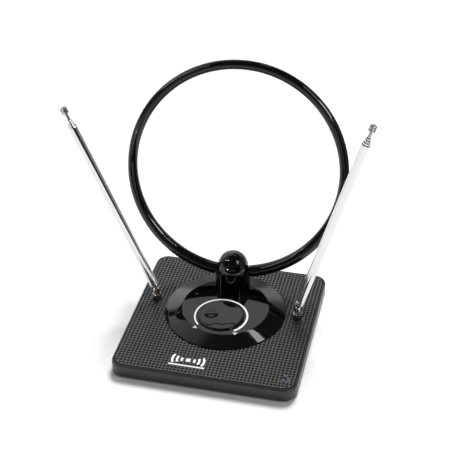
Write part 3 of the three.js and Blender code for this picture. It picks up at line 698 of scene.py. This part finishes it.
def add_base():
    cover = piece("top_cover_shell", top_cover(), SATIN, "base", replaces=["top_cover"])
    # The seam and the pits take darker materials as painted shade, and the lands a lighter one as
    # painted light.
    for painted_tone in COVER_PAINTED_TONES:
        cover.data.materials.append(painted_tone)
    for face in cover.data.polygons:
        face.material_index = cover_finish_and_painted_tone(face)
    piece("bottom_plate", bottom_cover(), SATIN, "base", replaces=["bottom_cover"])
    for sy, depth in ((-1, "front"), (1, "back")):
        for sx, side in ((-1, "left"), (1, "right")):
            corner = depth + "_" + side
            piece("rubber_" + corner, mesh_of(foot(), "foot"), RUBBER, "base",
                  move(sx * FOOT["x"], sy * FOOT["y"], 0), ["foot_" + corner])
            piece("case_screw_" + corner, case_screw(), STEEL, "base",
                  move(sx * CASE_SCREW["x"], sy * CASE_SCREW["y"], 0), ["cover_screw_" + corner])
    piece("bezel_cone", bezel(), GLOSS, "base", AT_BEZEL, ["centre_bezel"])
    # A painted shadow under the cone's rim.
    piece("bezel_shadow_ring", mesh_of(shadow_ring(), "shadow_ring"), SHADOW_BLACK, "base", AT_BEZEL)
    piece("dial_cap", dial(), GLOSS, "gain_dial", AT_DIAL, ["gain_dial"])
    piece("level_arc", level_arc(), PRINT, "base", AT_DIAL)
    piece("wave_mark", wave_mark(), PRINT, "base", move(MARK["x"], MARK["y"], 0))
    piece("led_lens", mesh_of(led(), "led"), LENS, "base", move(LED["x"], LED["y"], 0),
          ["indicator_led"])
    piece("cable_bush", mesh_of(gland(), "gland"), RUBBER, "base", replaces=["cable_gland"])
    piece("power_inlet", jack(), SATIN, "base", replaces=["power_jack"])


# ------------------------------------------------------------------ ring antenna
def axis_arc(radius, height, from_deg, to_deg, steps):
    """(r, z) points of a circle about the axis at this height."""
    angles = (math.radians(from_deg + (to_deg - from_deg) * k / steps) for k in range(steps + 1))
    return [(max(radius * math.cos(a), 0.0), height + radius * math.sin(a)) for a in angles]


def cross_rod(radius, low, high, sides):
    """A cylinder along X."""
    return placed(rod_shape(radius, low, high, sides), turn(90, "Y"))


def pillar():
    """The cup that holds the head's ball: cut along the head's lean, with an eye on each side."""
    r, low, hinge = PILLAR["radius"], BEZEL["top"] + 0.3, HEAD["hinge"]
    stem, groove, high = 7.7, 6.7, hinge + 8
    body = lathe(rounded([
        (0, 8.6, 0), (stem, 8.6, 0.3), (stem, 9.9, 0), (groove, 9.9, 0), (groove, 11, 0),
        (stem, 11, 0), (stem, low, 0), (r, low, 0.25), (r, high, 0), (0, high, 0),
    ]), 160)
    start = -math.degrees(math.asin(CUP["floor"] / CUP["radius"]))
    bowl = [(0, -CUP["floor"])] + axis_arc(CUP["radius"], 0, start, -9, 10)
    bowl += [(CUP["radius"], 12), (0, 12)]
    lid = placed(box_shape((-20, 20), (-30, 30), (-CUP["rim"], 30)), turn(-HEAD["lean"], "X"))
    lid = reopened(carved(lid, "lid", [cross_rod(CUP["ear"], -25, 25, 96)]))
    at_hinge = shift(0, 0, hinge)
    spring_bore, spring_high, screw_bore = 5.2, hinge - 13.35, 1.8
    cuts = [
        placed(lathe(bowl, 128), at_hinge),
        placed(cross_rod(CUP["eye"], -25, 25, 64), at_hinge),
        placed(lid, at_hinge),
        rod_shape(spring_bore, 0, spring_high, 48),
        rod_shape(screw_bore, 0, hinge, 32),
    ]
    return carved(body, "pillar", cuts)


def neck_cuts():
    """The two bores that the ring's ends come in through."""
    return [cross_rod(HEAD["bore"], low, high, 48) for low, high in ((-25, -5), (5, 25))]


def head_lower():
    """The ball half of the head, with the flange that its cap sits on."""
    seam, flange = HEAD["seam"], HEAD["flange"]
    step = HEAD["radius"] - seam
    profile = [(r, z, 0) for r, z in axis_arc(HEAD["ball"], 0, -90, -20, 10)]
    profile += [(step, -1.8, 0.2), (step, -1, 0), (flange, -0.9, 0.1), (flange, -seam, 0.15),
                (0, -seam, 0)]
    inner = HEAD["cavity"]
    cavity = lathe(axis_arc(inner, 0, -90, 0, 15) + [(inner, 1), (0, 1)], 64)
    slot = box_shape((-2.1, 2.1), (-3.2, 8.4), (-12, 0))
    screws = [placed(rod_shape(HEAD_SCREWS["radius"], -12, -2.6, 32), shift(x, y))
              for x, y in HEAD_SCREWS["at"]]
    body = lathe(rounded(profile), 128)
    return carved(body, "head_lower", [cavity, slot, *screws, *neck_cuts()])


def crown_arc(radius, low, height, steps):
    """(r, z) points of a quarter of a slightly squared ellipse."""
    share = 2 / CROWN["power"]
    angles = [math.pi / 2 * k / steps for k in range(steps + 1)]
    return [(radius * max(math.cos(a), 0.0) ** share, low + height * math.sin(a) ** share)
            for a in angles]


def head_upper():
    """The domed cap: a shell that rises almost straight from its seam and is rounder on top."""
    seam, radius, height = HEAD["seam"], *fields(CROWN, "radius height")
    chamfer, lift = 0.15, 0.12
    outer = [(radius - chamfer, seam)] + crown_arc(radius, seam + lift, height - lift, 48)
    hollow = HEAD["radius"] - HEAD["wall"]
    inner = [(hollow, seam)] + axis_arc(hollow, HEAD["band"], 0, 90, 24)
    return carved(swept(inner[::-1] + outer, 160), "head_upper", neck_cuts())


def tube_radius(angle):
    """The ring's own radius where it stands this far round from its lowest point."""
    return RING["thin"] + (RING["root"] - RING["thin"]) * max(0.0, math.cos(angle)) ** 0.85


def ring():
    """The ring's tube, thicker at its root, with an upright shoulder and a neck at each end."""
    sides, steps, full = 40, 300, 2 * math.pi
    neck = math.asin(RING["end"] / RING["radius"])
    shoulder = math.asin(RING["shoulder"] / RING["radius"])
    root = tube_radius(shoulder)
    ends = [(neck, RING["neck"], 0.0), (shoulder, RING["neck"], 0.0), (shoulder, root - 0.35, 0.0),
            (shoulder + 0.002, root - 0.1, 0.05), (shoulder + 0.005, root, 0.12)]
    first = shoulder + 0.02
    stations = list(ends)
    for k in range(steps + 1):
        angle = first + (full - 2 * first) * k / steps
        stations.append((angle, tube_radius(angle), None))
    stations += [(full - angle, radius, -facing) for angle, radius, facing in reversed(ends)]
    loops = []
    for angle, radius, facing in stations:
        centre = Vector((RING["radius"] * math.sin(angle), 0,
                         RING["radius"] * (1 - math.cos(angle)) - RING["drop"]))
        leaning = angle if facing is None else facing
        out = Vector((math.sin(leaning), 0, -math.cos(leaning)))
        loops.append([centre + out * (radius * math.cos(t)) + Vector((0, radius * math.sin(t), 0))
                      for t in (full * i / sides for i in range(sides))])
    bm = bmesh.new()
    loft(bm, loops, caps=(True, True))
    return mesh_of(bm, "ring")


def add_ring_antenna():
    piece("pillar_cup", pillar(), GLOSS, "loop_pillar", AT_PILLAR, ["loop_pillar"])
    piece("head_lower", head_lower(), GLOSS, "loop_head", AT_HEAD, ["head_base"])
    piece("head_cap", head_upper(), GLOSS, "loop_head", AT_HEAD, ["head_dome"])
    piece("ring_tube", ring(), GLOSS, "loop_head", AT_HEAD, ["loop_ring"])


# ------------------------------------------------------------------ telescopic rods
def bushing():
    """The smoked sleeve in the cover that a rod's knuckle turns in."""
    bore, neck, flange, low, seat, high = 2.3, 3.2, 3.9, 5.9, 11.3, 16.3
    return lathe(rounded([
        (bore, low, 0), (neck, low, 0.2), (neck, seat, 0), (flange, seat, 0.1),
        (flange, high, 0.7), (bore, high, 0.2), (bore, low + 0.1, 0)]), 64)


def collar():
    """The thin bright ring between the bushing and the knuckle."""
    bore, shoulder, rim, high = 2.98, 3.2, 3.4, 17.1
    return lathe(rounded([
        (bore, 16.7, 0), (shoulder, 16.6, 0.1), (rim, 16.8, 0.15), (rim, 17.0, 0.15),
        (shoulder, high, 0.1), (bore, high, 0.05), (bore, 16.75, 0)]), 64)


def across_slot(radius, reach, sides=40):
    """A cylinder along Y."""
    return placed(rod_shape(radius, -reach, reach, sides), turn(90, "X"))


def cheeks():
    """The clevis on its stem: two cheeks with round tops and a slot between them."""
    top = ROD["pivot"]
    r, shoulder, stem, stem_low, half_slot = fields(KNUCKLE, "radius shoulder stem stem_low slot")
    body = lathe(rounded([(0, stem_low, 0), (stem, stem_low, 0.2), (stem, shoulder, 0),
                          (r, shoulder, 0.15), (r, top + r, 0), (0, top + r, 0)]), 64)
    at_pivot = shift(0, 0, top)
    crown = placed(across_slot(r - 0.02, 4, 96), at_pivot)
    crown = reopened(carved(crown, "crown", adds=[box_shape((-4, 4), (-4, 4), (0, top))]))
    slot = box_shape((-5, 5), (-half_slot, half_slot), (top - KNUCKLE["slot_floor"], top + 6))
    hole = placed(across_slot(KNUCKLE["hole"], 5), at_pivot)
    return carved(body, "clevis", cuts=[slot, hole], keeps=[crown])


def tongue():
    """The flat eye between the cheeks, with the plug that the outer tube is crimped on."""
    r, low, high, wide, thick = fields(TONGUE, "plug plug_low plug_high half_width half_thick")
    plug = lathe(rounded([(0, low, 0), (r, low, 0.3), (r, high, 0), (0, high, 0)]), 48)
    blade = box_shape((-wide, wide), (-thick, thick), (0, 5))
    eye = across_slot(TONGUE["eye"], thick, 48)
    return carved(plug, "tongue", [across_slot(KNUCKLE["hole"], 5)], [blade, eye])


def pin():
    """The rivet through the knuckle, with low domed heads."""
    low, high = KNUCKLE["radius"] - 0.05, KNUCKLE["radius"] + 0.3
    head, shaft = KNUCKLE["head"], KNUCKLE["pin"]
    profile = rounded([(0, -high, 0), (head, -high + 0.05, 0.2), (head, -low, 0), (shaft, -low, 0),
                       (shaft, low, 0), (head, low, 0), (head, high - 0.05, 0.2), (0, high, 0)])
    return mesh_of(placed(lathe(profile, 40), turn(90, "X")), "pin")


def tube(outer, inner, low, high, crimps):
    """One drawn section, with rolled crimps near its foot and its far end rolled in."""
    rolled = (outer + inner) / 2
    profile = [(inner, low, 0), (outer, low, 0.2)]
    for z in crimps:
        profile += [(outer, z - 0.5, 0.2), (rolled, z - 0.15, 0.2), (rolled, z + 0.15, 0.2),
                    (outer, z + 0.5, 0.2)]
    profile += [(outer, high - 0.9, 0.6), (rolled, high - 0.1, 0.1), (inner, high, 0.1),
                (inner, low + 0.1, 0)]
    return lathe(rounded(profile), 56)


def tip():
    """The thin solid section and the knob at its end, which has a groove round it."""
    r, low, knob, start, end = fields(TIP, "radius low knob knob_low end")
    profile = rounded([
        (0, low, 0), (r, low, 0), (r, start, 0), (knob - 0.5, start, 0.1), (knob, start + 0.5, 0.3),
        (knob, start + 1.7, 0.2), (knob - 0.35, start + 2.0, 0.1), (knob - 0.35, start + 2.4, 0.1),
        (knob, start + 2.7, 0.2), (knob, end - 0.8, 0.5), (knob - 0.8, end - 0.05, 0.3),
        (0, end, 0)])
    return lathe(profile, 56)


def add_rod(side):
    """A rod on its knuckle, and the socket that it stands in."""
    at, along = socket_frame(side), rod_frame(side)
    knuckle, rod = side + "_knuckle", side + "_rod"
    piece(side + "_socket", mesh_of(bushing(), "socket"), SMOKE, "base", at, [side + "_bushing"])
    piece(side + "_clevis", cheeks(), BRASS, knuckle, at, [side + "_knuckle_base"])
    piece(side + "_ferrule", mesh_of(collar(), "collar"), CHROME, knuckle, at, [side + "_collar"])
    piece(side + "_rivet", pin(), BRASS, knuckle, along, [side + "_knuckle_pin"])
    piece(side + "_swivel_eye", tongue(), BRASS, rod, along, [side + "_tongue"])
    bodies = [rod] + [side + "_section_" + str(n) for n in (2, 3, 4)]
    for i, (outer, inner, low, high) in enumerate(TUBES):
        shape = mesh_of(tube(outer, inner, low, high, () if i else CRIMPS), "tube")
        piece(side + "_section_tube_" + str(i + 1), shape, CHROME, bodies[i], along,
              [side + "_tube_" + str(i + 1)])
    piece(side + "_end_knob", mesh_of(tip(), "tip"), NICKEL, side + "_tip", along,
          [side + "_tip_section"])


# ------------------------------------------------------------------ carried-over CAD pieces
HIDDEN_FINISH = {
    "circuit_board": BOARD, "gain_pot_body": SATIN, "led_holder": SATIN, "loop_conductor": BRASS,
}


def finish_hidden_pieces():
    """The inner pieces that keep their CAD shape get the same materials; the others are steel."""
    for name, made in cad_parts.items():
        if not made.hide_render:
            made.data.materials.clear()
            made.data.materials.append(HIDDEN_FINISH.get(name, STEEL))


# ------------------------------------------------------------------ stage, light and camera
CARDS = (  # name, grey level, height, and the two ends of an upright card's foot
    ("right_dark_card", 0.03, 300, (310, -600), (310, -60)),
    ("right_grey_card", 0.28, 300, (310, -60), (310, 430)),
    ("front_dark_card", 0.05, 120, (-700, -600), (310, -600)),
)
CAMERA = {  # its place and lens in millimetres, angles in degrees, clipping in metres
    "place": (188.07, -759.40, 654.07), "azimuth": 13.697, "elevation": 35.065, "roll": -0.727,
    "lens": 97.8232, "sensor": 36.0, "near": 0.05, "far": 20.0,
}
SUN = {"energy": 3.85, "angle": 26, "heading": (8, 54)}
PANELS = (  # name, azimuth and elevation, distance and size in metres, power
    ("right_softbox", (104, 37), 1.6, (0.38, 0.42), 6),
    ("top_strip", (11, 59), 1.6, (0.20, 0.10), 0.4),
    ("front_lamp", (-152, 9), 1.8, (0.08, 0.08), 3),
)
STRIPS = (  # name, azimuth and elevation of both ends, distance and width in metres, power
    ("right_strip", (128, 22), (106, 56), 1.6, 0.07, 4.5),
    ("left_strip", (-134, 57), (-98, 30), 1.6, 0.05, 4.2),
)
SWEEP_BEHIND_LEFT = (  # the backdrop: (elevation in degrees, grey level) stops
    (0, 0.9), (14, 0.55), (17.5, 0.8), (20, 1.9), (27, 1.8), (31.5, 1.6), (34.2, 0.6),
    (35.4, 0.06), (37.6, 0.06), (38.6, 1.15), (46, 0.85), (54, 0.7), (60, 0.5), (64, 0.12),
    (70, 0.05), (90, 0.06),
)
SWEEP_BEHIND_RIGHT = (
    (0, 0.9), (14, 0.2), (17.5, 0.35), (20, 1.3), (25, 1.5), (30, 0.6), (36, 0.25), (40, 0.05),
    (90, 0.06),
)
SWEEP_BEFORE = ((0, 0.95), (7, 0.9), (12, 0.1), (90, 0.06))


def add_floor():
    """A plain pale floor under the feet."""
    mat, nodes, links = new_material("studio_floor")
    bsdf = nodes["Principled BSDF"]
    where = node(nodes, "ShaderNodeTexCoord").outputs["Object"]
    shade = blend(nodes, links, noise(nodes, links, where, 3, 2), (0.86,) * 3, (0.88,) * 3)
    links.new(shade, bsdf.inputs["Base Color"])
    bsdf.inputs["Roughness"].default_value = 0.6
    bsdf.inputs["Specular IOR Level"].default_value = 0.1
    half = 4.0
    corners = [(-half, -half, 0), (half, -half, 0), (half, half, 0), (-half, half, 0)]
    mesh = bpy.data.meshes.new("floor")
    mesh.from_pydata(corners, [], [(0, 1, 2, 3)])
    mesh.materials.append(mat)
    floor = new_object("floor", mesh)
    floor.location.z = FLOOR_Z * MM


def heading(azimuth, elevation):
    """A unit vector: azimuth 0 is +Y (behind the part), 90 is +X, elevation above the floor."""
    a, e = math.radians(azimuth), math.radians(elevation)
    return Vector((math.sin(a) * math.cos(e), math.cos(a) * math.cos(e), math.sin(e)))


def area_lamp(name, size, power):
    """A rectangular lamp, still to be placed."""
    data = bpy.data.lights.new(name, "AREA")
    data.shape, data.energy = "RECTANGLE", power
    data.size, data.size_y = size
    return new_object(name, data)


def panel(name, direction, distance, size, power):
    """A soft rectangular light that faces the part."""
    aim = heading(*direction)
    lamp = area_lamp(name, size, power)
    lamp.location = Vector((0, 0.02, 0.03)) + aim * distance
    lamp.rotation_mode = "QUATERNION"
    lamp.rotation_quaternion = aim.to_track_quat("Z", "Y")


def strip(name, start, end, distance, width, power):
    """A long thin light between two headings, facing the part and seen only in reflections."""
    ends = [heading(*start), heading(*end)]
    span_of_ends = ends[1] - ends[0]
    aim = (ends[0] + ends[1]).normalized()
    along = (span_of_ends - aim * span_of_ends.dot(aim)).normalized()
    lamp = area_lamp(name, (distance * span_of_ends.length, width), power)
    spin = Matrix((along, aim.cross(along), aim)).transposed().to_4x4()
    lamp.matrix_world = Matrix.Translation(Vector((0, 0.03, 0.1)) + aim * distance) @ spin
    lamp.visible_diffuse = False


def level_ramp(nodes, links, where, stops):
    """A grey ramp over the sine of the elevation, from (degrees, level) stops."""
    ramp = node(nodes, "ShaderNodeValToRGB")
    elements = ramp.color_ramp.elements
    for i, (degrees, level) in enumerate(stops):
        at = math.sin(math.radians(degrees))
        stop = elements[i] if i < 2 else elements.new(at)
        stop.position = at
        stop.color = (level, level, level, 1)
    links.new(where, ramp.inputs["Fac"])
    return ramp.outputs["Color"]


def add_world():
    """The studio: a white sweep low down behind, on its left a dark gap with a pale panel over it,
    and a dark room on the camera's side and overhead."""
    world = bpy.data.worlds.new("studio")
    world.use_nodes = True
    bpy.context.scene.world = world
    nodes, links = world.node_tree.nodes, world.node_tree.links
    split = node(nodes, "ShaderNodeSeparateXYZ")
    links.new(node(nodes, "ShaderNodeTexCoord").outputs["Generated"], split.inputs["Vector"])
    behind_left, behind_right, before = (
        level_ramp(nodes, links, split.outputs["Z"], stops)
        for stops in (SWEEP_BEHIND_LEFT, SWEEP_BEHIND_RIGHT, SWEEP_BEFORE))
    toward_right = span(nodes, links, split.outputs["X"], -0.14, -0.05, 0.0, 1.0)
    toward_back = span(nodes, links, split.outputs["Y"], -0.08, 0.2, 0.0, 1.0)
    behind = blend(nodes, links, toward_right, behind_left, behind_right)
    studio = blend(nodes, links, toward_back, before, behind)
    links.new(studio, nodes["Background"].inputs["Color"])


def add_cards():
    """Upright dark and grey cards round the set, seen only in reflections, as for chrome."""
    for name, level, high, start, end in CARDS:
        mat, nodes, links = new_material(name)
        glow = node(nodes, "ShaderNodeEmission", Strength=1.0)
        glow.inputs["Color"].default_value = (level, level, level, 1)
        links.new(glow.outputs["Emission"], nodes["Material Output"].inputs["Surface"])
        low = FLOOR_Z + 0.5
        corners = ((start, low), (end, low), (end, high), (start, high))
        mesh = bpy.data.meshes.new(name)
        mesh.from_pydata([(x * MM, y * MM, z * MM) for (x, y), z in corners], [], [(0, 1, 2, 3)])
        mesh.materials.append(mat)
        card = new_object(name, mesh)
        card.visible_camera = card.visible_diffuse = card.visible_shadow = False
        card.visible_transmission = card.visible_volume_scatter = False


def add_sun():
    """Broad soft light from behind and above, which casts the shadows and isn't reflected."""
    data = bpy.data.lights.new("overhead", "SUN")
    data.energy, data.angle = SUN["energy"], math.radians(SUN["angle"])
    lamp = new_object("overhead", data)
    lamp.rotation_mode = "QUATERNION"
    lamp.rotation_quaternion = heading(*SUN["heading"]).to_track_quat("Z", "Y")
    lamp.visible_glossy = False


def add_camera():
    azimuth, elevation, roll = map(math.radians, fields(CAMERA, "azimuth elevation roll"))
    data = bpy.data.cameras.new("camera")
    data.sensor_width, data.lens = CAMERA["sensor"], CAMERA["lens"]
    data.clip_start, data.clip_end = CAMERA["near"], CAMERA["far"]
    camera = new_object("camera", data)
    flat = math.cos(elevation)
    back = Vector((math.sin(azimuth) * flat, -math.cos(azimuth) * flat, math.sin(elevation)))
    right = Vector((math.cos(azimuth), math.sin(azimuth), 0))
    up = back.cross(right)
    across = right * math.cos(roll) + up * math.sin(roll)
    upward = up * math.cos(roll) - right * math.sin(roll)
    spin = Matrix((across, upward, back)).transposed().to_4x4()
    camera.matrix_world = move(*CAMERA["place"]) @ spin
    bpy.context.scene.camera = camera


add_base()
add_ring_antenna()
for rod_side in ROD_POSES:
    add_rod(rod_side)
finish_hidden_pieces()
add_floor()
add_cards()
add_world()
add_sun()
for lamp_settings in PANELS:
    panel(*lamp_settings)
for lamp_settings in STRIPS:
    strip(*lamp_settings)
add_camera()
bpy.context.scene.view_settings.view_transform = "Standard"
